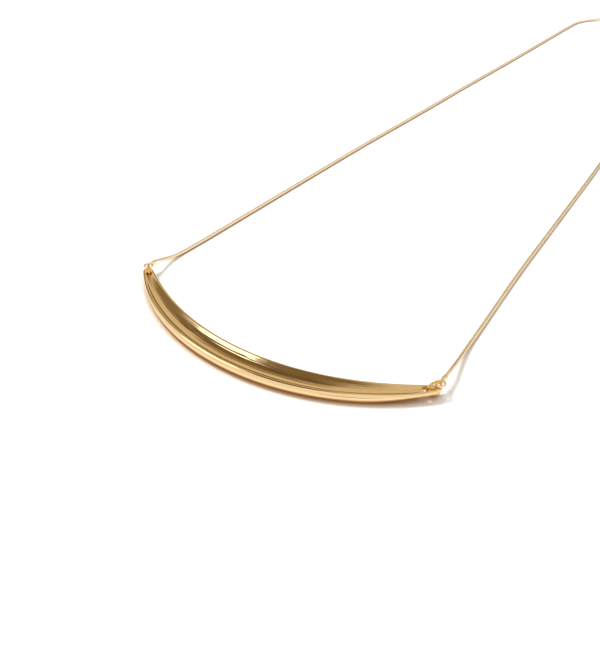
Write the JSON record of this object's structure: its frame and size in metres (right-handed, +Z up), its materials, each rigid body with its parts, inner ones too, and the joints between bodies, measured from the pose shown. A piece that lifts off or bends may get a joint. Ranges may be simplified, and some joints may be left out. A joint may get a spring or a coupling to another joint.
{
  "type": "crescent pendant necklace",
  "caption": "Slim dished crescent pendant held at both tips by jump rings on a round snake chain, closed behind the neck by a plain ring clasp.",
  "frame": {"origin": "on the surface the necklace lies on, under the middle of its overall length and width", "axes": "+X along the crescent from its left tip to its right tip, +Y from the crescent to the clasp, +Z up out of the dished face"},
  "size_m": [0.0592, 0.2282, 0.0028],
  "materials": {
    "gold": "polished gold plating",
    "rose_gold": "polished pale rose gold plating"
  },
  "bodies": {
    "root": {"pendant": "gold", "jump_ring_left": "gold", "jump_ring_right": "gold", "front_cup_left": "rose_gold", "front_cup_right": "rose_gold", "chain_left": "rose_gold", "chain_right": "rose_gold", "back_cup_left": "rose_gold", "back_cup_right": "rose_gold", "clasp": "gold"}
  },
  "joints": []
}
